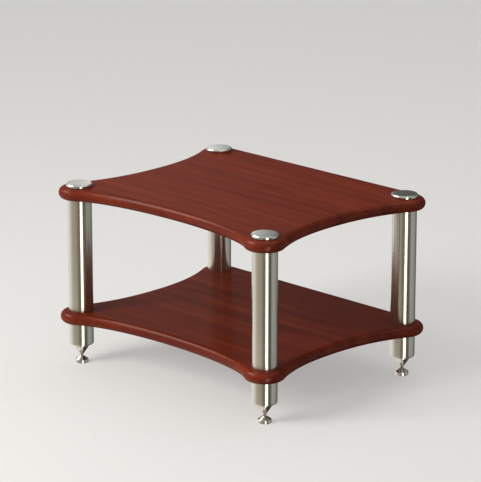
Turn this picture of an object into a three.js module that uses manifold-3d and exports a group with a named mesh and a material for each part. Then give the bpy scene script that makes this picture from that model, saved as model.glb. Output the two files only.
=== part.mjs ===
// Two-tier equipment rack: two shaped wooden shelves on four steel posts with levelling spikes.
// Millimetres. +X is the width, -Y the front, +Z up. The origin is on the floor under the middle.

import * as THREE from 'three';
import Module from 'manifold-3d';
import { mergeVertices } from 'three/addons/utils/BufferGeometryUtils.js';

const wasm = await Module();
wasm.setup();

// Layout of the posts
const postSpacingX = 560;
const postSpacingY = 430;

// Shelf boards
const shelfThickness = 25;
const shelfEdgeFlat = 1;
const lobeRadius = 45;
const frontHollow = 52;
const sideHollow = 45;
const frontLobeTurn = THREE.MathUtils.degToRad(34);
const sideLobeTurn = THREE.MathUtils.degToRad(27);
const frontMiddleHandleShare = 0.33;
const frontLobeHandleShare = 0.235;
const sideMiddleHandleShare = 0.334;
const sideLobeHandleShare = 0.364;

// Posts: a long tube over the lower shelf and a short one under it
const postDiameter = 54;
const tubeWall = 2;
const upperTubeLength = 256;
const lowerTubeLength = 51;
const footEndChamfer = 2;

// Turned plugs that close each tube end and carry the thread
const plugFlange = 9;
const plugBossDiameter = 22;
const plugSpacing = 5;

// Studs that clamp a post through the shelves
const studDiameter = 10;
const studChamfer = 1;
const studEngagement = 18;

// Top caps
const capDiameter = 58;
const capThickness = 8;
const capEdgeRound = 2;
const capCrown = 3;

// Levelling spikes
const shankHeadroom = 7;
const collarDiameter = 35;
const collarHeight = 4;
const collarChamfer = 1;
const coneLength = 25.4;
const tipDiameter = 1.6;

// Floor pads: a low disc whose top rises in a cone to a small dimpled seat
const padDiameter = 29;
const padHeight = 15.5;
const padRimHeight = 8.5;
const padEdgeRound = 1.5;
const padFootChamfer = 0.8;
const padSeatDiameter = 7;
const dimpleDiameter = 5;
const dimpleFloorDiameter = 2.4;
const dimpleDepth = 1.5;

// Clearances and cutting allowance
const fitGap = 0.3;
const shelfHoleGap = 0.5;
const overrun = 2;

// Facet counts
const outlineSegments = 8;
const edgeSegments = 3;
const tubeSegments = 32;
const capSegments = 32;
const plugSegments = 16;
const studSegments = 12;
const spikeSegments = 20;
const padSegments = 24;
const roundSegments = 3;

// Heights that follow from the sizes above
const tipZ = padHeight - dimpleDepth + fitGap;
const collarZ = tipZ + coneLength;
const lowerTubeZ = collarZ + collarHeight + fitGap;
const lowerShelfZ = lowerTubeZ + lowerTubeLength;
const upperTubeZ = lowerShelfZ + shelfThickness;
const upperShelfZ = upperTubeZ + upperTubeLength;
const capZ = upperShelfZ + shelfThickness;

// Lengths that follow from the room inside the short tube
const plugLength = (lowerTubeLength - plugSpacing) / 2;
const shankLength = lowerTubeLength - studEngagement - shankHeadroom;

// Radii and places that follow from the sizes above
const shelfEdgeRound = (shelfThickness - shelfEdgeFlat) / 2;
const postRadius = postDiameter / 2;
const tubeBoreRadius = postRadius - tubeWall;
const plugRadius = tubeBoreRadius - fitGap;
const studRadius = studDiameter / 2;
const threadBoreRadius = studRadius + fitGap;
const capBoreDepth = capThickness - capCrown;
const halfX = postSpacingX / 2;
const halfY = postSpacingY / 2;

const corners = [
  { name: 'front_left', x: -halfX, y: -halfY },
  { name: 'front_right', x: halfX, y: -halfY },
  { name: 'rear_left', x: -halfX, y: halfY },
  { name: 'rear_right', x: halfX, y: halfY },
];

// Materials

function satinSteel() {
  return new THREE.MeshStandardMaterial({ color: 0xb4b0a6, roughness: 0.32, metalness: 1 });
}

function polishedSteel() {
  return new THREE.MeshStandardMaterial({ color: 0xc9c8c4, roughness: 0.14, metalness: 1 });
}

function turnedAluminium() {
  return new THREE.MeshStandardMaterial({ color: 0xa9abad, roughness: 0.45, metalness: 1 });
}

function zincSteel() {
  return new THREE.MeshStandardMaterial({ color: 0x8f9297, roughness: 0.5, metalness: 1 });
}

function cherryWood() {
  return new THREE.MeshStandardMaterial({ color: 0x71321f, roughness: 0.42, metalness: 0 });
}

// Solids

function point(x, y) {
  return new THREE.Vector2(x, y);
}

function closedGeometry(geometry) {
  const bare = geometry.clone();
  bare.deleteAttribute('normal');
  bare.deleteAttribute('uv');
  return mergeVertices(bare);
}

// Turns a profile of radius and height about the vertical axis. The profile runs up its outside.
function turned(profile, segments) {
  const geometry = new THREE.LatheGeometry(profile, segments);
  geometry.rotateX(Math.PI / 2);
  return geometry;
}

function toSolid(geometry) {
  const closed = closedGeometry(geometry);
  const vertProperties = Float32Array.from(closed.attributes.position.array);
  const triVerts = Uint32Array.from(closed.index.array);
  return new wasm.Manifold(new wasm.Mesh({ numProp: 3, vertProperties, triVerts }));
}

function toGeometry(solid) {
  const mesh = solid.getMesh();
  const geometry = new THREE.BufferGeometry();
  const places = Float32Array.from(mesh.vertProperties);
  geometry.setAttribute('position', new THREE.BufferAttribute(places, mesh.numProp));
  geometry.setIndex(new THREE.BufferAttribute(Uint32Array.from(mesh.triVerts), 1));
  geometry.computeVertexNormals();
  return geometry;
}

function place(parent, name, geometry, material, z) {
  const mesh = new THREE.Mesh(geometry, material);
  mesh.name = name;
  mesh.position.z = z;
  parent.add(mesh);
}

// Rounded edge of a turned piece, from its side at (radius, height - size) to its top face.
function roundedShoulder(radius, height, size) {
  const points = [];
  for (let i = 0; i <= roundSegments; i += 1) {
    const angle = (i / roundSegments) * (Math.PI / 2);
    const reach = size * Math.cos(angle);
    const rise = size * Math.sin(angle);
    points.push(point(radius - size + reach, height - size + rise));
  }
  return points;
}

// Shelf outline: a round lobe at each post, hollow front and sides, straight back

function lobePoint(centreX, centreY, angle) {
  const x = centreX + lobeRadius * Math.cos(angle);
  const y = centreY + lobeRadius * Math.sin(angle);
  return point(x, y);
}

// Half of a hollow edge: a curve between two points, each with its handle.
function hollowHalf(shape, from, fromHandle, to, toHandle) {
  const first = from.clone().add(fromHandle);
  const second = to.clone().add(toHandle);
  shape.bezierCurveTo(first.x, first.y, second.x, second.y, to.x, to.y);
}

function addFrontEdge(shape) {
  const leftEnd = lobePoint(-halfX, -halfY, -Math.PI / 2 + frontLobeTurn);
  const rightEnd = lobePoint(halfX, -halfY, -Math.PI / 2 - frontLobeTurn);
  const middle = point(0, -halfY - lobeRadius + frontHollow);
  const lobeHandle = frontLobeHandleShare * rightEnd.x;
  const middleHandle = frontMiddleHandleShare * rightEnd.x;
  const along = lobeHandle * Math.cos(frontLobeTurn);
  const inward = lobeHandle * Math.sin(frontLobeTurn);
  shape.moveTo(leftEnd.x, leftEnd.y);
  hollowHalf(shape, leftEnd, point(along, inward), middle, point(-middleHandle, 0));
  hollowHalf(shape, middle, point(middleHandle, 0), rightEnd, point(-along, inward));
}

// side is 1 on the right, where the edge runs to the back, and -1 on the left.
function addSideEdge(shape, side) {
  const base = side > 0 ? 0 : Math.PI;
  const start = lobePoint(side * halfX, -side * halfY, base + sideLobeTurn);
  const end = lobePoint(side * halfX, side * halfY, base - sideLobeTurn);
  const middle = point(side * (halfX + lobeRadius - sideHollow), 0);
  const reach = Math.abs(start.y);
  const lobeHandle = sideLobeHandleShare * reach;
  const middleHandle = sideMiddleHandleShare * reach;
  const inward = -side * lobeHandle * Math.sin(sideLobeTurn);
  const along = side * lobeHandle * Math.cos(sideLobeTurn);
  hollowHalf(shape, start, point(inward, along), middle, point(0, -side * middleHandle));
  hollowHalf(shape, middle, point(0, side * middleHandle), end, point(inward, -along));
}

function shelfOutline() {
  const shape = new THREE.Shape();
  addFrontEdge(shape);
  shape.absarc(halfX, -halfY, lobeRadius, -Math.PI / 2 - frontLobeTurn, sideLobeTurn);
  addSideEdge(shape, 1);
  shape.absarc(halfX, halfY, lobeRadius, -sideLobeTurn, Math.PI / 2);
  shape.absarc(-halfX, halfY, lobeRadius, Math.PI / 2, Math.PI + sideLobeTurn);
  addSideEdge(shape, -1);
  shape.absarc(-halfX, -halfY, lobeRadius, Math.PI - sideLobeTurn, Math.PI * 1.5 + frontLobeTurn);
  return shape;
}

function shelfGeometry() {
  const board = new THREE.ExtrudeGeometry(shelfOutline(), {
    depth: shelfThickness - 2 * shelfEdgeRound,
    curveSegments: outlineSegments,
    bevelEnabled: true,
    bevelThickness: shelfEdgeRound,
    bevelSize: shelfEdgeRound,
    bevelOffset: -shelfEdgeRound,
    bevelSegments: edgeSegments,
  });
  board.translate(0, 0, shelfEdgeRound);
  const holeRadius = studRadius + shelfHoleGap;
  const holeDepth = shelfThickness + 2 * overrun;
  const drill = new THREE.CylinderGeometry(holeRadius, holeRadius, holeDepth, plugSegments);
  drill.rotateX(Math.PI / 2);
  let solid = toSolid(board);
  for (const corner of corners) {
    const hole = drill.clone().translate(corner.x, corner.y, shelfThickness / 2);
    solid = solid.subtract(toSolid(hole));
  }
  return toGeometry(solid);
}

// Posts

function upperTube() {
  return turned([
    point(tubeBoreRadius, 0),
    point(postRadius, 0),
    point(postRadius, upperTubeLength),
    point(tubeBoreRadius, upperTubeLength),
    point(tubeBoreRadius, 0),
  ], tubeSegments);
}

// The free end over the floor is broken by a chamfer no wider than the wall allows.
function lowerTube() {
  const chamferDepth = Math.min(footEndChamfer, tubeWall / 2);
  return turned([
    point(tubeBoreRadius, 0),
    point(postRadius - chamferDepth, 0),
    point(postRadius, footEndChamfer),
    point(postRadius, lowerTubeLength),
    point(tubeBoreRadius, lowerTubeLength),
    point(tubeBoreRadius, 0),
  ], tubeSegments);
}

// A plug stands on its flange with the boss upwards.
function tubePlug() {
  const bossRadius = plugBossDiameter / 2;
  return turned([
    point(threadBoreRadius, 0),
    point(plugRadius, 0),
    point(plugRadius, plugFlange),
    point(bossRadius, plugFlange),
    point(bossRadius, plugLength),
    point(threadBoreRadius, plugLength),
    point(threadBoreRadius, 0),
  ], plugSegments);
}

function stud(length) {
  return turned([
    point(0, 0),
    point(studRadius - studChamfer, 0),
    point(studRadius, studChamfer),
    point(studRadius, length - studChamfer),
    point(studRadius - studChamfer, length),
    point(0, length),
  ], studSegments);
}

// The cap is bored from below for its stud.
function topCap() {
  const capRadius = capDiameter / 2;
  return turned([
    point(0, capBoreDepth),
    point(threadBoreRadius, capBoreDepth),
    point(threadBoreRadius, 0),
    point(capRadius, 0),
    ...roundedShoulder(capRadius, capThickness, capEdgeRound),
    point(0, capThickness),
  ], capSegments);
}

// Feet

function spike() {
  const collarRadius = collarDiameter / 2;
  const collarTop = coneLength + collarHeight;
  const shankTop = collarTop + shankLength;
  return turned([
    point(0, 0),
    point(tipDiameter / 2, 0),
    point(collarRadius, coneLength),
    point(collarRadius, collarTop - collarChamfer),
    point(collarRadius - collarChamfer, collarTop),
    point(studRadius, collarTop),
    point(studRadius, shankTop - studChamfer),
    point(studRadius - studChamfer, shankTop),
    point(0, shankTop),
  ], spikeSegments);
}

function floorPad() {
  const padRadius = padDiameter / 2;
  return turned([
    point(0, 0),
    point(padRadius - padFootChamfer, 0),
    point(padRadius, padFootChamfer),
    ...roundedShoulder(padRadius, padRimHeight, padEdgeRound),
    point(padSeatDiameter / 2, padHeight),
    point(dimpleDiameter / 2, padHeight),
    point(dimpleFloorDiameter / 2, padHeight - dimpleDepth),
    point(0, padHeight - dimpleDepth),
  ], padSegments);
}

// Assembly

function addPlugUp(leg, name, z) {
  place(leg, name, tubePlug(), turnedAluminium(), z);
}

function addPlugDown(leg, name, z) {
  const geometry = tubePlug();
  geometry.rotateX(Math.PI);
  place(leg, name, geometry, turnedAluminium(), z);
}

function addLeg(rack, corner) {
  const leg = new THREE.Group();
  leg.position.set(corner.x, corner.y, 0);
  const named = (piece) => `${corner.name}_${piece}`;
  const joiningStudLength = shelfThickness + 2 * studEngagement;
  const capStudLength = studEngagement + shelfThickness + capBoreDepth - fitGap;

  place(leg, named('floor_pad'), floorPad(), polishedSteel(), 0);
  place(leg, named('spike'), spike(), polishedSteel(), tipZ);

  place(leg, named('lower_tube'), lowerTube(), satinSteel(), lowerTubeZ);
  addPlugUp(leg, named('lower_tube_bottom_plug'), lowerTubeZ);
  addPlugDown(leg, named('lower_tube_top_plug'), lowerShelfZ);
  place(leg, named('joining_stud'), stud(joiningStudLength), zincSteel(), lowerShelfZ - studEngagement);

  place(leg, named('upper_tube'), upperTube(), satinSteel(), upperTubeZ);
  addPlugUp(leg, named('upper_tube_bottom_plug'), upperTubeZ);
  addPlugDown(leg, named('upper_tube_top_plug'), upperShelfZ);
  place(leg, named('cap_stud'), stud(capStudLength), zincSteel(), upperShelfZ - studEngagement);
  place(leg, named('top_cap'), topCap(), polishedSteel(), capZ);
  rack.add(leg);
}

function buildRack() {
  const rack = new THREE.Group();
  const board = shelfGeometry();
  place(rack, 'lower_shelf', board.clone(), cherryWood(), lowerShelfZ);
  place(rack, 'top_shelf', board.clone(), cherryWood(), upperShelfZ);
  for (const corner of corners) {
    addLeg(rack, corner);
  }
  return rack;
}

export default buildRack();
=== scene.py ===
"""Two-tier equipment rack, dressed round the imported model. Metres, +X width, -Y front, +Z up."""
import math

import bmesh
import bpy
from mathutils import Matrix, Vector


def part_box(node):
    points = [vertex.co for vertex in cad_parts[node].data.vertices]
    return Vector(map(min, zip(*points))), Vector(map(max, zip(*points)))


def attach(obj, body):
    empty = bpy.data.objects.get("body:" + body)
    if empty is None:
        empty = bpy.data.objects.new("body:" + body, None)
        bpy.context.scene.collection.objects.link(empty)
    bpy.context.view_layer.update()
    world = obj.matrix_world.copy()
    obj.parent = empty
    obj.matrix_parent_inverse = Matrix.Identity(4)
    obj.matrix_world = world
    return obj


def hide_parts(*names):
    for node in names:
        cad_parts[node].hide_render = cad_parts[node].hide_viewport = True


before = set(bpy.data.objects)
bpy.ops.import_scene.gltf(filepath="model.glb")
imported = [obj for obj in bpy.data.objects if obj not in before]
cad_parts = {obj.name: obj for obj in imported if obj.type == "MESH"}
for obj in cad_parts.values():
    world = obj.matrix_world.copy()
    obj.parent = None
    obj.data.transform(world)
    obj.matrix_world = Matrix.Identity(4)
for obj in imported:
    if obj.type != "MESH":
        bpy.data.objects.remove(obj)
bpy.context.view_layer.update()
scene = bpy.context.scene

CORNERS = ("front_left", "front_right", "rear_left", "rear_right")
UPRIGHT = Vector((0.0, 0.0, 1.0))

# Sizes that repeat the CAD model's, in metres and radians. A handle is a share of half a hollow edge.
LOBE_RADIUS = 0.045
FRONT_HOLLOW = 0.052
SIDE_HOLLOW = 0.045
FRONT_LOBE_TURN = math.radians(34)
SIDE_LOBE_TURN = math.radians(27)
FRONT_MIDDLE_HANDLE = 0.33
FRONT_LOBE_HANDLE = 0.235
SIDE_MIDDLE_HANDLE = 0.334
SIDE_LOBE_HANDLE = 0.364
EDGE_ROUND = 0.012
SHELF_HOLE_RADIUS = 0.0055
TUBE_BORE_RADIUS = 0.025
FOOT_CHAMFER = 0.002
FOOT_CHAMFER_DEPTH = 0.001
PLUG_FLANGE = 0.009
PLUG_BOSS_RADIUS = 0.011
THREAD_BORE_RADIUS = 0.0053
THREAD_RADIUS = 0.005
THREAD_PITCH = 0.0015
STUD_CHAMFER = 0.001
COLLAR_HEIGHT = 0.004
COLLAR_RADIUS = 0.0175
COLLAR_CHAMFER = 0.001
CONE_LENGTH = 0.0254
TIP_RADIUS = 0.0008
CAP_BORE_DEPTH = 0.005
PAD_RIM_HEIGHT = 0.0085
PAD_EDGE_ROUND = 0.0015
PAD_FOOT_CHAMFER = 0.0008
PAD_SEAT_RADIUS = 0.0035
DIMPLE_RADIUS = 0.0025
DIMPLE_FLOOR_RADIUS = 0.0012
DIMPLE_DEPTH = 0.0015

# Fine shape that only this scene has, in metres
CAP_DOME = 0.0003
CAP_RIM_WIDTH = 0.0019
CAP_RIM_DROP = 0.0022
THREAD_DEPTH = 0.00085
THREAD_RELIEF = 0.0012
TUBE_EDGE = 0.00035
CAP_EDGE = 0.0004
PLUG_EDGE = 0.0006
FOOT_EDGE = 0.0003

# Camera, at the photograph's viewing angle
YAW = math.radians(-44.474)
PITCH = math.radians(16.342)
DISTANCE = 6.291
AIM_HEIGHT = 0.2898
AIM_SHIFT = -0.00074
LENS = 217.1
SENSOR = 36.0
CLIP_END = 100.0

forward = Vector((math.sin(YAW) * math.cos(PITCH), math.cos(YAW) * math.cos(PITCH), -math.sin(PITCH)))
right = Vector((math.cos(YAW), -math.sin(YAW), 0.0))
towards = Vector((-forward.x, -forward.y, 0.0)).normalized()  # level, to the camera's side


def add_camera():
    data = bpy.data.cameras.new("camera")
    data.lens = LENS
    data.sensor_width = SENSOR
    data.clip_end = CLIP_END
    camera = bpy.data.objects.new("camera", data)
    scene.collection.objects.link(camera)
    camera.location = UPRIGHT * AIM_HEIGHT + right * AIM_SHIFT - forward * DISTANCE
    camera.rotation_mode = "QUATERNION"
    camera.rotation_quaternion = forward.to_track_quat("-Z", "Y")
    scene.camera = camera


# Node helpers

def srgb(red, green, blue):
    """An 8-bit display colour as linear RGBA."""
    def linear(value):
        value /= 255.0
        return value / 12.92 if value <= 0.04045 else ((value + 0.055) / 1.055) ** 2.4
    return (linear(red), linear(green), linear(blue), 1.0)


class Nodes:
    """Short calls to build one node tree. A value is a number, a colour or another node's output."""

    def __init__(self, tree):
        self.tree = tree
        self.tree.nodes.clear()

    def add(self, kind, **settings):
        node = self.tree.nodes.new(kind)
        for key, value in settings.items():
            setattr(node, key, value)
        return node

    def feed(self, value, socket):
        """Link an output to an input, or set a constant on the input itself."""
        if isinstance(value, bpy.types.NodeSocket):
            self.tree.links.new(value, socket)
        else:
            socket.default_value = value

    def give(self, node, values):
        """Feed a node's inputs by their names."""
        for name, value in values.items():
            self.feed(value, node.inputs[name])

    def feed_in_order(self, node, values):
        for socket, value in zip(node.inputs, values):
            self.feed(value, socket)

    def math(self, operation, *values):
        node = self.add("ShaderNodeMath", operation=operation)
        self.feed_in_order(node, values)
        return node.outputs[0]

    def vector_math(self, operation, *values):
        """Vector maths with a vector result, or a number for a length or a dot product."""
        node = self.add("ShaderNodeVectorMath", operation=operation)
        self.feed_in_order(node, values)
        return node.outputs["Value" if operation in ("LENGTH", "DOT_PRODUCT") else "Vector"]

    def coordinates(self, scale, offset=(0.0, 0.0, 0.0), turn=(0.0, 0.0, 0.0)):
        """Object coordinates, moved, turned and scaled."""
        mapping = self.add("ShaderNodeMapping")
        self.give(mapping, {
            "Vector": self.add("ShaderNodeTexCoord").outputs["Object"],
            "Location": offset,
            "Rotation": turn,
            "Scale": scale,
        })
        return mapping.outputs["Vector"]

    def ring_coordinates(self, width, run, line_scale):
        """A vector whose noise makes rings round a piece's own upright axis, on flat faces as on sides."""
        place = self.add("ShaderNodeTexCoord")
        flat = (1.0, 1.0, 0.0)
        centred = self.vector_math("MULTIPLY_ADD", place.outputs["Generated"], flat, (-0.5, -0.5, 0.0))
        split = self.add("ShaderNodeSeparateXYZ")
        self.feed(place.outputs["Object"], split.inputs[0])
        joined = self.add("ShaderNodeCombineXYZ")
        self.feed_in_order(joined, (
            self.math("MULTIPLY", self.vector_math("LENGTH", centred), width * line_scale),
            self.math("MULTIPLY", split.outputs[0], run),
            self.math("MULTIPLY", split.outputs[2], line_scale),
        ))
        return joined.outputs[0]

    def noise(self, vector, detail=2.0, roughness=0.5):
        node = self.add("ShaderNodeTexNoise")
        self.give(node, {"Vector": vector, "Scale": 1.0, "Detail": detail, "Roughness": roughness})
        return node.outputs[0]

    def ramp(self, value, stops):
        """A colour ramp of (position, colour or grey) stops."""
        node = self.add("ShaderNodeValToRGB")
        elements = node.color_ramp.elements
        while len(elements) < len(stops):
            elements.new(0.5)
        for element, (position, colour) in zip(elements, stops):
            element.position = position
            element.color = colour if isinstance(colour, tuple) else (colour, colour, colour, 1.0)
        self.feed(value, node.inputs["Fac"])
        return node.outputs["Color"]

    def mix(self, kind, factor, first, second):
        """Mix two colours."""
        node = self.add("ShaderNodeMix", data_type="RGBA", blend_type=kind)
        sockets = {socket.identifier: socket for socket in node.inputs}
        self.feed(factor, sockets["Factor_Float"])
        self.feed(first, sockets["A_Color"])
        self.feed(second, sockets["B_Color"])
        return next(socket for socket in node.outputs if socket.identifier == "Result_Color")

    def spread(self, value, low, high):
        """Map a 0 to 1 value onto a range."""
        node = self.add("ShaderNodeMapRange")
        self.give(node, {"Value": value, "To Min": low, "To Max": high})
        return node.outputs["Result"]

    def bump(self, height, distance):
        node = self.add("ShaderNodeBump")
        self.give(node, {"Strength": 1.0, "Distance": distance, "Height": height})
        return node.outputs["Normal"]

    def background(self, colour, strength):
        node = self.add("ShaderNodeBackground")
        self.give(node, {"Color": colour, "Strength": strength})
        return node.outputs[0]

    def blend(self, share, first, second):
        """Blend two shaders."""
        node = self.add("ShaderNodeMixShader")
        self.feed_in_order(node, (share, first, second))
        return node.outputs[0]


def new_material(name):
    material = bpy.data.materials.new(name)
    material.use_nodes = True
    nodes = Nodes(material.node_tree)
    shader = nodes.add("ShaderNodeBsdfPrincipled")
    output = nodes.add("ShaderNodeOutputMaterial")
    nodes.feed(shader.outputs["BSDF"], output.inputs["Surface"])
    return material, nodes, shader


# Wood

WOOD_TONES = ((0.34, srgb(86, 25, 10)), (0.5, srgb(108, 35, 14)), (0.66, srgb(130, 48, 21)))
PORE_DARK = srgb(58, 17, 10)
PORE_EDGE = ((0.6, 0.0), (0.68, 1.0))
PORE_SHARE = 0.45
MOTTLE_TONES = ((0.3, 0.84), (0.7, 1.0))
MOTTLE_SHARE = 0.55
STREAK_SHARE = 0.45
WOOD_GLOSS = {"Specular IOR Level": 0.04, "Coat Weight": 0.08, "Coat Roughness": 0.22, "Coat IOR": 2.6}
WOOD_ROUGHNESS = (0.52, 0.68)
WOOD_RELIEF = 0.00006
COAT_RELIEF = 0.00002
PORE_HEIGHT = -0.8
FIBRE_HEIGHT = 0.5

# How often the grain changes along and across a board, in cells of noise a metre
BAND_GRAIN = (1.6, 42.0)
STREAK_GRAIN = (9.0, 330.0)
FIBRE_GRAIN = (40.0, 1500.0)
PORE_GRAIN = (55.0, 1150.0)
MOTTLE_GRAIN = (7.0, 16.0, 16.0)
DRIFT_GRAIN = (3.0, 3.0, 3.0)

# The grain runs a little askew and wanders sideways with a slow drift.
GRAIN_SKEW = (0.0, 0.0, math.radians(1.5))
GRAIN_WANDER = (0.0, 0.03, 0.03)


def cherry_wood(name, offset):
    """Satin-lacquered red-brown wood with its grain along the width, solid through the board."""
    material, nodes, shader = new_material(name)
    drift = nodes.noise(nodes.coordinates(DRIFT_GRAIN, offset), detail=1.0)
    straight = nodes.coordinates((1.0, 1.0, 1.0), offset, GRAIN_SKEW)
    bent = nodes.vector_math("MULTIPLY_ADD", drift, GRAIN_WANDER, straight)

    def grain(scale, detail, roughness=0.5):
        along, across = scale
        stretched = nodes.vector_math("MULTIPLY", bent, (along, across, across))
        return nodes.noise(stretched, detail, roughness)

    bands = grain(BAND_GRAIN, detail=3.0, roughness=0.55)
    streaks = grain(STREAK_GRAIN, detail=3.0, roughness=0.6)
    fibres = grain(FIBRE_GRAIN, detail=2.0)
    pores = nodes.ramp(grain(PORE_GRAIN, detail=1.0), PORE_EDGE)
    mottle = nodes.noise(nodes.coordinates(MOTTLE_GRAIN, offset))

    band_part = nodes.math("MULTIPLY", bands, 1.0 - STREAK_SHARE)
    colour = nodes.ramp(nodes.math("MULTIPLY_ADD", streaks, STREAK_SHARE, band_part), WOOD_TONES)
    colour = nodes.mix("MULTIPLY", MOTTLE_SHARE, colour, nodes.ramp(mottle, MOTTLE_TONES))
    colour = nodes.mix("MIX", nodes.math("MULTIPLY", pores, PORE_SHARE), colour, PORE_DARK)
    fibre_part = nodes.math("MULTIPLY", fibres, FIBRE_HEIGHT)
    height = nodes.math("MULTIPLY_ADD", pores, PORE_HEIGHT, fibre_part)
    nodes.give(shader, WOOD_GLOSS)
    nodes.give(shader, {
        "Base Color": colour,
        "Roughness": nodes.spread(streaks, *WOOD_ROUGHNESS),
        "Normal": nodes.bump(height, WOOD_RELIEF),
        "Coat Normal": nodes.bump(height, COAT_RELIEF),
    })
    return material


# Metals

# Noise changes slowly along a brushed line or a turned ring and quickly across it, in cells a metre.
LINE_RUN = 18.0
RING_RUN = 10.0
CLOUD_GRAIN = (35.0, 35.0, 12.0)
MARK_GRAIN = (160.0, 160.0, 160.0)

# Brushed: LINE_TINT is how far the lines tint the steel, and LINE_SHARE their part in its roughness.
LINE_TONES = ((0.3, 0.6), (0.65, 1.0))
LINE_TINT = 0.22
LINE_SHARE = 0.6
BRUSHED_SPREAD = 0.25
QUARTER_TURN = 0.25

# Turned: noise below the first value of MARK_EDGE is a mark, and above the second it is clean.
MARK_EDGE = (0.35, 0.62)
TURNED_SPREAD = 0.35


def brushed_steel(name, colour, roughness, anisotropy, line_scale, line_depth, spun_width=None):
    """Steel with fine lines that run round the vertical axis, on a spun disc's flat faces too."""
    material, nodes, shader = new_material(name)
    tangent = nodes.add("ShaderNodeTangent", direction_type="RADIAL", axis="Z")
    if spun_width:
        place = nodes.ring_coordinates(spun_width, LINE_RUN, line_scale)
    else:
        place = nodes.coordinates((LINE_RUN, LINE_RUN, line_scale))
    lines = nodes.noise(place, detail=3.0, roughness=0.65)
    cloud_part = nodes.math("MULTIPLY", nodes.noise(nodes.coordinates(CLOUD_GRAIN)), 1.0 - LINE_SHARE)
    dullness = nodes.math("MULTIPLY_ADD", lines, LINE_SHARE, cloud_part)
    nodes.give(shader, {
        "Metallic": 1.0,
        "Anisotropic": anisotropy,
        "Anisotropic Rotation": QUARTER_TURN,
        "Tangent": tangent.outputs["Tangent"],
        "Base Color": nodes.mix("MULTIPLY", LINE_TINT, colour, nodes.ramp(lines, LINE_TONES)),
        "Roughness": nodes.spread(
            dullness, roughness * (1.0 - BRUSHED_SPREAD), roughness * (1.0 + BRUSHED_SPREAD)),
        "Normal": nodes.bump(lines, line_depth),
    })
    return material


def turned_metal(name, colour, roughness, ring_scale, ring_depth, dulling):
    """Metal with the rings of a turning tool, and handling marks that dull it in patches."""
    material, nodes, shader = new_material(name)
    rings = nodes.noise(nodes.coordinates((RING_RUN, RING_RUN, ring_scale)))
    marks = nodes.noise(nodes.coordinates(MARK_GRAIN), detail=3.0, roughness=0.6)
    shade = nodes.ramp(marks, ((MARK_EDGE[0], 1.0 - dulling), (MARK_EDGE[1], 1.0)))
    nodes.give(shader, {
        "Metallic": 1.0,
        "Base Color": nodes.mix("MULTIPLY", 1.0, colour, shade),
        "Roughness": nodes.spread(
            marks, roughness * (1.0 + TURNED_SPREAD), roughness * (1.0 - TURNED_SPREAD)),
        "Normal": nodes.bump(rings, ring_depth),
    })
    return material


# Mesh helpers

# SHORTEST and SAME_PLACE are metres, and SOFTENED_SHARE is the most of a side that a corner may use.
SHARP_ANGLE = math.radians(32)
THREAD_SHARP_ANGLE = math.radians(60)
SOFTENED_ANGLE = math.radians(12)
SOFTENED_STEPS = 3
SOFTENED_SHARE = 0.45
SHORTEST = 1e-6
SAME_PLACE = 1e-5


def finish_mesh(name, bm, material, body, replaced, sharp=SHARP_ANGLE):
    """Make the piece, and say what it rides on and takes its finish from, and hide the CAD part it stands
    for.
    """
    bmesh.ops.recalc_face_normals(bm, faces=bm.faces)
    for face in bm.faces:
        face.smooth = True
    mesh = bpy.data.meshes.new(name)
    bm.to_mesh(mesh)
    bm.free()
    mesh.set_sharp_from_angle(angle=sharp)
    mesh.materials.append(material)
    piece = bpy.data.objects.new(name, mesh)
    scene.collection.objects.link(piece)
    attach(piece, body)
    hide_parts(replaced)
    return piece


def middle_of(node):
    low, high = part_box(node)
    return (low.x + high.x) / 2, (low.y + high.y) / 2


def circle(bm, centre, radius, height, segments):
    """A ring of vertices round a vertical axis."""
    ring = []
    for i in range(segments):
        angle = 2.0 * math.pi * i / segments
        x = centre[0] + radius * math.cos(angle)
        y = centre[1] + radius * math.sin(angle)
        ring.append(bm.verts.new((x, y, height)))
    return ring


def bridge(bm, lower, upper):
    """Faces between two rings of as many vertices."""
    for i in range(len(lower)):
        j = (i + 1) % len(lower)
        bm.faces.new((lower[i], lower[j], upper[j], upper[i]))


def fan(bm, ring, tip):
    """Faces from a ring to one vertex."""
    for i in range(len(ring)):
        bm.faces.new((ring[i], ring[(i + 1) % len(ring)], tip))


def revolve(bm, profile, centre, segments):
    """Turn a profile of (radius, height) about a vertical axis. The axis or its own start closes it."""
    rings = []
    for radius, height in profile:
        if radius == 0.0:
            rings.append([bm.verts.new((*centre, height))])
        else:
            rings.append(circle(bm, centre, radius, height, segments))
    if profile[0][0] != 0.0:
        rings.append(rings[0])
    for lower, upper in zip(rings, rings[1:]):
        if len(lower) == 1:
            fan(bm, upper, lower[0])
        elif len(upper) == 1:
            fan(bm, lower, upper[0])
        else:
            bridge(bm, lower, upper)


def soften(profile, size):
    """Round each inner corner of an open profile by a small arc-like curve."""
    points = [profile[0]]
    for before, corner, after in zip(profile, profile[1:], profile[2:]):
        here = Vector(corner)
        back = Vector(before) - here
        ahead = Vector(after) - here
        turn = back.angle(-ahead) if back.length and ahead.length else 0.0
        reach = min(size, back.length * SOFTENED_SHARE, ahead.length * SOFTENED_SHARE)
        if turn < SOFTENED_ANGLE or reach < SHORTEST:
            points.append(corner)
            continue
        start = here + back.normalized() * reach
        end = here + ahead.normalized() * reach
        for k in range(SOFTENED_STEPS + 1):
            t = k / SOFTENED_STEPS
            p = start * (1 - t) ** 2 + here * 2 * t * (1 - t) + end * t ** 2
            points.append((p.x, p.y))
    points.append(profile[-1])
    return points


def soften_loop(profile, size):
    """The same for a closed profile, whose first point isn't repeated."""
    wrapped = [profile[-1]] + list(profile) + [profile[0]]
    return soften(wrapped, size)[1:-1]


def arc(centre_r, centre_z, radius, start, end, steps):
    """Points of an arc in a turned profile, angles in degrees."""
    points = []
    for k in range(steps + 1):
        a = math.radians(start + (end - start) * k / steps)
        points.append((centre_r + radius * math.cos(a), centre_z + radius * math.sin(a)))
    return points


# Shelf boards

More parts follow.
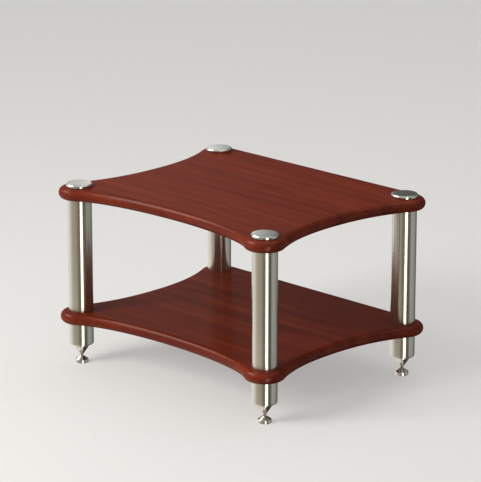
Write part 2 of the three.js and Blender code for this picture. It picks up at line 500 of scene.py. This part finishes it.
# RIM_SUPPORT is how far inside the round edge the flat faces begin, in metres.
ARC_STEPS = 36
CURVE_STEPS = 44
EDGE_STEPS = 18
RIM_SUPPORT = 0.0025
HOLE_STEPS = 32
RIGHT_ANGLE = math.pi / 2


def lobe_end(cx, cy, a):
    return Vector((cx + LOBE_RADIUS * math.cos(a), cy + LOBE_RADIUS * math.sin(a)))


class Outline:
    """Points and outward normals round the shelf, anticlockwise from the front left lobe's end."""

    def __init__(self, half_x, half_y):
        self.half_x = half_x
        self.half_y = half_y
        self.points = []
        self.normals = []
        self.front()
        self.lobe(half_x, -half_y, -RIGHT_ANGLE - FRONT_LOBE_TURN, SIDE_LOBE_TURN)
        self.side(1)
        self.lobe(half_x, half_y, -SIDE_LOBE_TURN, RIGHT_ANGLE)
        self.lobe(-half_x, half_y, RIGHT_ANGLE, math.pi + SIDE_LOBE_TURN)
        self.side(-1)
        self.lobe(-half_x, -half_y, math.pi - SIDE_LOBE_TURN, 3 * RIGHT_ANGLE + FRONT_LOBE_TURN)
        if (self.points[0] - self.points[-1]).length < SAME_PLACE:
            self.points.pop()
            self.normals.pop()

    def add(self, point, normal):
        """Add a point, unless the last one is in the same place."""
        if not self.points or (point - self.points[-1]).length > SAME_PLACE:
            self.points.append(point)
            self.normals.append(normal)

    def lobe(self, cx, cy, start, end):
        """An arc round one post's axis."""
        for k in range(ARC_STEPS + 1):
            a = start + (end - start) * k / ARC_STEPS
            normal = Vector((math.cos(a), math.sin(a)))
            self.add(Vector((cx, cy)) + normal * LOBE_RADIUS, normal)

    def half(self, start, start_handle, end, end_handle):
        """Half of a hollow edge: a curve between two points, each with its handle."""
        p = (start, start + start_handle, end + end_handle, end)
        for k in range(1, CURVE_STEPS + 1):
            t = k / CURVE_STEPS
            u = 1 - t
            point = p[0] * u ** 3 + p[1] * 3 * u * u * t + p[2] * 3 * u * t * t + p[3] * t ** 3
            slope = (p[1] - p[0]) * u * u + (p[2] - p[1]) * 2 * u * t + (p[3] - p[2]) * t * t
            self.add(point, Vector((slope.y, -slope.x)).normalized())

    def front(self):
        """The hollow front edge, from left to right."""
        left = lobe_end(-self.half_x, -self.half_y, -RIGHT_ANGLE + FRONT_LOBE_TURN)
        far = lobe_end(self.half_x, -self.half_y, -RIGHT_ANGLE - FRONT_LOBE_TURN)
        middle = Vector((0.0, -self.half_y - LOBE_RADIUS + FRONT_HOLLOW))
        slope = Vector((math.cos(FRONT_LOBE_TURN), math.sin(FRONT_LOBE_TURN)))
        pull = slope * FRONT_LOBE_HANDLE * far.x
        level = Vector((FRONT_MIDDLE_HANDLE * far.x, 0.0))
        self.half(left, pull, middle, -level)
        self.half(middle, level, far, Vector((-pull.x, pull.y)))

    def side(self, sign):
        """The right edge, to the back, for a sign of 1, and the left edge, to the front, for -1."""
        base = 0.0 if sign > 0 else math.pi
        start = lobe_end(sign * self.half_x, -sign * self.half_y, base + SIDE_LOBE_TURN)
        end = lobe_end(sign * self.half_x, sign * self.half_y, base - SIDE_LOBE_TURN)
        middle = Vector((sign * (self.half_x + LOBE_RADIUS - SIDE_HOLLOW), 0.0))
        reach = abs(start.y)
        inward = -sign * math.sin(SIDE_LOBE_TURN) * SIDE_LOBE_HANDLE * reach
        along = sign * math.cos(SIDE_LOBE_TURN) * SIDE_LOBE_HANDLE * reach
        level = Vector((0.0, sign * SIDE_MIDDLE_HANDLE * reach))
        self.half(start, Vector((inward, along)), middle, -level)
        self.half(middle, level, end, Vector((inward, -along)))


def edge_rings(bm, outline, low, high):
    """Rings of vertices from the underside, round the bullnose, to the top."""
    def ring(inset, z):
        pairs = zip(outline.points, outline.normals)
        return [bm.verts.new((p.x - n.x * inset, p.y - n.y * inset, z)) for p, n in pairs]

    rings = [ring(EDGE_ROUND + RIM_SUPPORT, low)]
    for k in range(EDGE_STEPS + 1):
        if 2 * k == EDGE_STEPS:  # a narrow flat lies between the two halves of the round
            rings.append(ring(0.0, low + EDGE_ROUND))
            rings.append(ring(0.0, high - EDGE_ROUND))
            continue
        a = -math.pi / 2 + math.pi * k / EDGE_STEPS
        centre = low + EDGE_ROUND if a < 0 else high - EDGE_ROUND
        rings.append(ring(EDGE_ROUND * (1 - math.cos(a)), centre + EDGE_ROUND * math.sin(a)))
    rings.append(ring(EDGE_ROUND + RIM_SUPPORT, high))
    return rings


def board(name, node, material, half_x, half_y):
    low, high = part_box(node)
    bm = bmesh.new()
    rings = edge_rings(bm, Outline(half_x, half_y), low.z, high.z)
    for lower, upper in zip(rings, rings[1:]):
        bridge(bm, lower, upper)

    holes = []
    for centre in ((sx * half_x, sy * half_y) for sx in (-1, 1) for sy in (-1, 1)):
        pair = [circle(bm, centre, SHELF_HOLE_RADIUS, z, HOLE_STEPS) for z in (low.z, high.z)]
        bridge(bm, pair[1], pair[0])
        holes.append(pair)
    for level, rim in ((0, rings[0]), (1, rings[-1])):
        edges = []
        for loop in [rim] + [pair[level] for pair in holes]:
            for i in range(len(loop)):
                edges.append(bm.edges.get((loop[i], loop[(i + 1) % len(loop)])))
        bmesh.ops.triangle_fill(bm, edges=edges, use_beauty=True)
    return finish_mesh(name, bm, material, "rack", node)


# Turned pieces

TUBE_SEGMENTS = 128
TURNED_SEGMENTS = 96
THREAD_SEGMENTS = 24
DOME_STEPS = 10
PAD_ROUND_STEPS = 6

# The groove is a zigzag from 0 to 1 along each pitch, times THREAD_FLANK, less THREAD_CREST.
THREAD_STEPS_A_TURN = 4
THREAD_FLANK = 1.4
THREAD_CREST = 0.2


def tube(node, material, chamfered):
    low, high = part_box(node)
    radius = (high.x - low.x) / 2
    profile = [
        (TUBE_BORE_RADIUS, low.z),
        (radius, low.z),
        (radius, high.z),
        (TUBE_BORE_RADIUS, high.z),
    ]
    if chamfered:
        profile[1:2] = [(radius - FOOT_CHAMFER_DEPTH, low.z), (radius, low.z + FOOT_CHAMFER)]
    bm = bmesh.new()
    revolve(bm, soften_loop(profile, TUBE_EDGE), middle_of(node), TUBE_SEGMENTS)
    return finish_mesh(node + "_sleeve", bm, material, "rack", node)


def top_cap(node, material):
    low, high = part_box(node)
    radius = (high.x - low.x) / 2
    face_radius = radius - CAP_RIM_WIDTH
    profile = [
        (0.0, low.z + CAP_BORE_DEPTH),
        (THREAD_BORE_RADIUS, low.z + CAP_BORE_DEPTH),
        (THREAD_BORE_RADIUS, low.z),
        (radius, low.z),
        (radius, high.z - CAP_RIM_DROP),
        (face_radius, high.z - CAP_DOME),
    ]
    for k in range(DOME_STEPS - 1, -1, -1):
        share = k / DOME_STEPS
        profile.append((face_radius * share, high.z - CAP_DOME * share * share))
    bm = bmesh.new()
    revolve(bm, soften(profile, CAP_EDGE), middle_of(node), TUBE_SEGMENTS)
    return finish_mesh(node + "_disc", bm, material, "rack", node)


def plug(node, material):
    low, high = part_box(node)
    radius = (high.x - low.x) / 2
    length = high.z - low.z
    profile = [
        (THREAD_BORE_RADIUS, 0.0),
        (radius, 0.0),
        (radius, PLUG_FLANGE),
        (PLUG_BOSS_RADIUS, PLUG_FLANGE),
        (PLUG_BOSS_RADIUS, length),
        (THREAD_BORE_RADIUS, length),
    ]
    upside_down = node.endswith("top_plug")
    placed = [(r, high.z - h if upside_down else low.z + h) for r, h in soften_loop(profile, PLUG_EDGE)]
    bm = bmesh.new()
    revolve(bm, placed, middle_of(node), TURNED_SEGMENTS)
    return finish_mesh(node + "_turning", bm, material, "rack", node)


def add_thread(bm, centre, bottom, top):
    """A right-handed thread on a rod, with a run-out at both ends. Returns its end rings."""
    turns = (top - bottom) / THREAD_PITCH
    steps = max(2, round(turns * THREAD_STEPS_A_TURN))
    rings = []
    for k in range(steps + 1):
        z = bottom + (top - bottom) * k / steps
        fade = min(1.0, (z - bottom) / THREAD_PITCH, (top - z) / THREAD_PITCH)
        ring = []
        for i in range(THREAD_SEGMENTS):
            angle = 2 * math.pi * i / THREAD_SEGMENTS
            phase = ((z - bottom) / THREAD_PITCH - i / THREAD_SEGMENTS) % 1.0
            groove = 1.0 - abs(2.0 * phase - 1.0)
            cut = min(1.0, max(0.0, groove * THREAD_FLANK - THREAD_CREST))
            radius = THREAD_RADIUS - THREAD_DEPTH * cut * fade
            x = centre[0] + radius * math.cos(angle)
            y = centre[1] + radius * math.sin(angle)
            ring.append(bm.verts.new((x, y, z)))
        rings.append(ring)
    for lower, upper in zip(rings, rings[1:]):
        bridge(bm, lower, upper)
    return rings[0], rings[-1]


def close_end(bm, centre, ring, profile, upwards):
    """Close a rod from one of its end rings along a profile of (radius, height) to the axis."""
    for radius, height in profile[:-1]:
        fresh = circle(bm, centre, radius, height, len(ring))
        if upwards:
            bridge(bm, ring, fresh)
        else:
            bridge(bm, fresh, ring)
        ring = fresh
    tip = bm.verts.new((*centre, profile[-1][1]))
    fan(bm, ring if upwards else ring[::-1], tip)


def threaded_stud(node, material):
    low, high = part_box(node)
    centre = middle_of(node)
    narrow = THREAD_RADIUS - STUD_CHAMFER
    bm = bmesh.new()
    bottom, top = add_thread(bm, centre, low.z + STUD_CHAMFER, high.z - STUD_CHAMFER)
    close_end(bm, centre, bottom, [(narrow, low.z), (0.0, low.z)], upwards=False)
    close_end(bm, centre, top, [(narrow, high.z), (0.0, high.z)], upwards=True)
    return finish_mesh(node + "_threaded", bm, material, "rack", node, THREAD_SHARP_ANGLE)


def spike(node, corner, material):
    """Cone, collar and threaded shank in one piece."""
    low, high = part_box(node)
    centre = middle_of(node)
    cone_top = low.z + CONE_LENGTH
    collar_top = cone_top + COLLAR_HEIGHT
    profile = [
        (0.0, low.z),
        (TIP_RADIUS, low.z),
        (COLLAR_RADIUS, cone_top),
        (COLLAR_RADIUS, collar_top - COLLAR_CHAMFER),
        (COLLAR_RADIUS - COLLAR_CHAMFER, collar_top),
        (THREAD_RADIUS, collar_top),
    ]
    bm = bmesh.new()
    bottom, top = add_thread(bm, centre, collar_top + THREAD_RELIEF, high.z - STUD_CHAMFER)
    shank_end = [(THREAD_RADIUS - STUD_CHAMFER, high.z), (0.0, high.z)]
    close_end(bm, centre, top, shank_end, upwards=True)
    close_end(bm, centre, bottom, soften(profile, FOOT_EDGE)[::-1], upwards=False)
    return finish_mesh(node + "_cone", bm, material, corner + "_spike_body", node)


def floor_pad(node, corner, material):
    low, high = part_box(node)
    radius = (high.x - low.x) / 2
    round_radius = radius - PAD_EDGE_ROUND
    round_height = PAD_RIM_HEIGHT - PAD_EDGE_ROUND
    profile = [(0.0, 0.0), (radius - PAD_FOOT_CHAMFER, 0.0), (radius, PAD_FOOT_CHAMFER)]
    profile += arc(round_radius, round_height, PAD_EDGE_ROUND, 0, 90, PAD_ROUND_STEPS)
    profile += [(PAD_SEAT_RADIUS, high.z), (DIMPLE_RADIUS, high.z)]
    profile += [(DIMPLE_FLOOR_RADIUS, high.z - DIMPLE_DEPTH), (0.0, high.z - DIMPLE_DEPTH)]
    bm = bmesh.new()
    revolve(bm, soften(profile, FOOT_EDGE), middle_of(node), TURNED_SEGMENTS)
    return finish_mesh(node + "_disc", bm, material, corner + "_pad_body", node)


# Surroundings

# A row is a bearing from the camera's side, in degrees, positive to the right, and a colour.
# POST_BANDS is what the upright posts show, below the horizon.
POST_BANDS = (
    (-180, 0.82, 0.80, 0.76),
    (-150, 0.93, 0.91, 0.87),
    (-116, 0.95, 0.945, 0.91),
    (-102, 0.87, 0.86, 0.82),
    (-89, 0.69, 0.66, 0.61),
    (-77, 0.52, 0.485, 0.435),
    (-66, 0.435, 0.40, 0.355),
    (-48, 0.395, 0.365, 0.30),
    (-31, 0.385, 0.355, 0.285),
    (-20, 0.28, 0.25, 0.19),
    (-10, 0.175, 0.155, 0.115),
    (3, 0.15, 0.13, 0.095),
    (10, 0.9, 0.88, 0.83),
    (25, 0.9, 0.88, 0.83),
    (32, 0.11, 0.093, 0.075),
    (49, 0.09, 0.078, 0.063),
    (58, 0.28, 0.265, 0.235),
    (68, 0.44, 0.43, 0.395),
    (78, 0.465, 0.46, 0.43),
    (90, 0.41, 0.42, 0.41),
    (104, 0.35, 0.37, 0.365),
    (118, 0.26, 0.285, 0.275),
    (138, 0.14, 0.155, 0.145),
    (180, 0.13, 0.14, 0.13),
)
# UPPER_BANDS is above the horizon, and STRIP_BANDS the part of it that the caps show.
UPPER_BANDS = (
    (-180, 0.24, 0.24, 0.23),
    (-165, 0.30, 0.29, 0.27),
    (-145, 0.50, 0.48, 0.43),
    (-105, 0.75, 0.71, 0.63),
    (-75, 0.60, 0.56, 0.49),
    (-20, 0.38, 0.36, 0.31),
    (60, 0.29, 0.28, 0.26),
    (100, 0.23, 0.23, 0.22),
    (150, 0.20, 0.21, 0.20),
    (180, 0.24, 0.24, 0.23),
)
STRIP_BANDS = (
    (-180, 0.50, 0.50, 0.48),
    (-179.4, 1.0, 0.98, 0.94),
    (-178.2, 1.0, 0.98, 0.94),
    (-176.4, 0.58, 0.58, 0.56),
    (-162, 0.52, 0.52, 0.50),
    (-152, 0.45, 0.43, 0.39),
    (-105, 1.0, 0.96, 0.88),
    (-75, 0.70, 0.66, 0.58),
    (-20, 0.40, 0.37, 0.31),
    (60, 0.26, 0.25, 0.22),
    (100, 0.12, 0.12, 0.11),
    (177.5, 0.09, 0.10, 0.09),
    (179.2, 0.25, 0.26, 0.25),
    (180, 0.50, 0.50, 0.48),
)
# LOWER_BANDS is the ground.
LOWER_BANDS = (
    (-180, 0.50, 0.42, 0.32),
    (-120, 1.0, 0.94, 0.84),
    (-50, 0.86, 0.80, 0.69),
    (-8, 0.20, 0.17, 0.12),
    (5, 0.20, 0.17, 0.12),
    (11, 0.85, 0.80, 0.70),
    (25, 0.85, 0.80, 0.70),
    (34, 0.10, 0.085, 0.065),
    (70, 0.07, 0.06, 0.05),
    (150, 0.05, 0.045, 0.04),
    (180, 0.30, 0.26, 0.20),
)

# A point here is a bearing and a share from 0 to 1.
WINDOW = ((8, 0.0), (13, 1.0), (22, 1.0), (27, 0.0))
SKYLIGHT = ((-138, 0.0), (-129, 1.0), (-95, 1.0), (-70, 0.0))

# A point is a height, from 0 at the horizon to 1 straight up, and a share from 0 to 1.
# GROUND_DEPTH counts downwards from the horizon.
UPPER_HEIGHT = ((0.0, 0.0), (0.1, 1.0))
STRIP_HEIGHT = ((0.175, 0.0), (0.2, 1.0), (0.33, 1.0), (0.355, 0.0))
OVERHEAD_HEIGHT = ((0.68, 0.0), (0.86, 1.0))
WINDOW_HEIGHT = ((0.3, 1.0), (0.5, 0.0))
SKYLIGHT_HEIGHT = ((0.48, 0.0), (0.58, 1.0), (0.8, 1.0), (0.88, 0.0))
GROUND_DEPTH = ((0.46, 0.0), (0.6, 1.0))

OVERHEAD = (0.55, 0.55, 0.53, 1.0)
PANEL_STRENGTH = 1.1
WINDOW_STRENGTH = 4.5
SKYLIGHT_STRENGTH = 10.0
AMBIENT = (1.0, 0.985, 0.96, 1.0)
AMBIENT_STRENGTH = 0.4
PALE = (0.86, 0.86, 0.85, 1.0)


def mirrored_room(nodes):
    """What metal and lacquer show of the room: the colour and the strength of each direction."""
    direction = nodes.add("ShaderNodeTexCoord").outputs["Generated"]

    def along(axis):
        return nodes.vector_math("DOT_PRODUCT", direction, axis)

    height = along(UPRIGHT)
    angle = nodes.math("ARCTAN2", along(right), along(towards))
    turn = nodes.math("MULTIPLY_ADD", angle, 1 / (2 * math.pi), 0.5)

    def by_bearing(table):
        stops = []
        for bearing, *levels in table:
            colour = (*levels, 1.0) if len(levels) == 3 else levels[0]
            stops.append((0.5 + bearing / 360, colour))
        return nodes.ramp(turn, stops)

    def by_height(stops):
        return nodes.ramp(height, stops)

    depth = nodes.math("MULTIPLY", height, -1.0)
    colour = nodes.mix("MIX", by_height(UPPER_HEIGHT), by_bearing(POST_BANDS), by_bearing(UPPER_BANDS))
    colour = nodes.mix("MIX", by_height(STRIP_HEIGHT), colour, by_bearing(STRIP_BANDS))
    colour = nodes.mix("MIX", nodes.ramp(depth, GROUND_DEPTH), colour, by_bearing(LOWER_BANDS))
    colour = nodes.mix("MIX", by_height(OVERHEAD_HEIGHT), colour, OVERHEAD)
    window = nodes.math("MULTIPLY", by_bearing(WINDOW), by_height(WINDOW_HEIGHT))
    skylight = nodes.math("MULTIPLY", by_bearing(SKYLIGHT), by_height(SKYLIGHT_HEIGHT))
    strength = nodes.math("MULTIPLY_ADD", window, WINDOW_STRENGTH, PANEL_STRENGTH)
    strength = nodes.math("MULTIPLY_ADD", skylight, SKYLIGHT_STRENGTH, strength)
    return colour, strength


def band_world():
    """Soft surroundings: pale to the camera, with bright and dark panels for the metal to show."""
    world = bpy.data.worlds.new("studio")
    world.use_nodes = True
    scene.world = world
    nodes = Nodes(world.node_tree)
    mirrored = nodes.background(*mirrored_room(nodes))
    soft = nodes.background(AMBIENT, AMBIENT_STRENGTH)
    shown = nodes.background(PALE, 1.0)
    path = nodes.add("ShaderNodeLightPath").outputs
    in_metal = nodes.math("MAXIMUM", path["Is Glossy Ray"], path["Is Transmission Ray"])
    unseen = nodes.blend(in_metal, soft, mirrored)
    output = nodes.add("ShaderNodeOutputWorld")
    nodes.feed(nodes.blend(path["Is Camera Ray"], unseen, shown), output.inputs["Surface"])


# Floor and lamps

FLOOR_RADIUS = 24.0
FLOOR_SEGMENTS = 96
FLOOR_GRAIN = (30.0, 30.0, 30.0)
FLOOR_DARK = (0.455, 0.451, 0.441, 1.0)
FLOOR_LIGHT = (0.48, 0.476, 0.465, 1.0)
FLOOR_GLOW = (1.0, 0.995, 0.98, 1.0)
FLOOR_GLOW_STRENGTH = 0.37
LAMP_TARGET = Vector((0.0, 0.0, 0.25))


def floor():
    """Plain pale floor that takes the object's shadow and runs out into the background."""
    bm = bmesh.new()
    bmesh.ops.create_circle(bm, cap_ends=True, radius=FLOOR_RADIUS, segments=FLOOR_SEGMENTS)
    mesh = bpy.data.meshes.new("studio_floor")
    bm.to_mesh(mesh)
    bm.free()
    surface = bpy.data.objects.new("studio_floor", mesh)
    scene.collection.objects.link(surface)
    surface.visible_glossy = False
    material, nodes, shader = new_material("studio_floor")
    grain = nodes.noise(nodes.coordinates(FLOOR_GRAIN), detail=3.0)
    camera_ray = nodes.add("ShaderNodeLightPath").outputs["Is Camera Ray"]
    nodes.give(shader, {
        "Base Color": nodes.mix("MIX", grain, FLOOR_DARK, FLOOR_LIGHT),
        "Roughness": 0.8,
        "Specular IOR Level": 0.1,
        "Emission Color": FLOOR_GLOW,
        "Emission Strength": nodes.math("MULTIPLY", camera_ray, FLOOR_GLOW_STRENGTH),
    })
    mesh.materials.append(material)


def area_lamp(name, bearing, elevation, distance, side, power, colour, in_metal):
    """A square lamp that looks at the rack. Its bearing counts as in the tables above, in degrees."""
    data = bpy.data.lights.new(name, "AREA")
    data.shape = "RECTANGLE"
    data.size = side
    data.size_y = side
    data.energy = power
    data.color = colour
    lamp = bpy.data.objects.new(name, data)
    scene.collection.objects.link(lamp)
    bearing = math.radians(bearing)
    elevation = math.radians(elevation)
    level = towards * math.cos(bearing) + right * math.sin(bearing)
    lamp.location = LAMP_TARGET + (level * math.cos(elevation) + UPRIGHT * math.sin(elevation)) * distance
    lamp.rotation_mode = "QUATERNION"
    lamp.rotation_quaternion = (LAMP_TARGET - lamp.location).to_track_quat("-Z", "Y")
    lamp.visible_glossy = in_metal


def lights():
    area_lamp("key", bearing=-62, elevation=30, distance=3.8, side=1.8, power=123,
              colour=(1.0, 0.97, 0.93), in_metal=False)
    area_lamp("overhead", bearing=150, elevation=74, distance=2.8, side=2.0, power=10,
              colour=(1.0, 0.99, 0.97), in_metal=True)


# Assembly

def shelves():
    half_x, front_y = middle_of("front_right_upper_tube")
    wood = {
        "top_shelf": cherry_wood("cherry_top", offset=(0.0, 0.0, 0.0)),
        "lower_shelf": cherry_wood("cherry_lower", offset=(0.7, 1.3, 0.4)),
    }
    for node, material in wood.items():
        board(node + "_board", node, material, half_x, -front_y)


def legs():
    cap_low, cap_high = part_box("front_left_top_cap")
    posts = brushed_steel("satin_steel", srgb(211, 207, 198), roughness=0.24, anisotropy=0.75,
                          line_scale=2600.0, line_depth=0.000004)
    caps = brushed_steel("cap_steel", srgb(216, 216, 212), roughness=0.13, anisotropy=0.2,
                         line_scale=2400.0, line_depth=0.000002, spun_width=cap_high.x - cap_low.x)
    feet = turned_metal("foot_steel", srgb(214, 211, 206), roughness=0.2,
                        ring_scale=2400.0, ring_depth=0.000004, dulling=0.12)
    plugs = turned_metal("turned_aluminium", srgb(186, 188, 190), roughness=0.36,
                         ring_scale=1800.0, ring_depth=0.00001, dulling=0.15)
    studs = turned_metal("zinc_steel", srgb(158, 162, 166), roughness=0.42,
                         ring_scale=600.0, ring_depth=0.000004, dulling=0.25)
    for corner in CORNERS:
        tube(corner + "_upper_tube", posts, chamfered=False)
        tube(corner + "_lower_tube", posts, chamfered=True)
        top_cap(corner + "_top_cap", caps)
        for end in ("upper_tube_top", "upper_tube_bottom", "lower_tube_top", "lower_tube_bottom"):
            plug(f"{corner}_{end}_plug", plugs)
        for stud in ("cap_stud", "joining_stud"):
            threaded_stud(f"{corner}_{stud}", studs)
        spike(corner + "_spike", corner, feet)
        floor_pad(corner + "_floor_pad", corner, feet)


add_camera()
shelves()
legs()
band_world()
floor()
lights()
scene.view_settings.view_transform = "Standard"
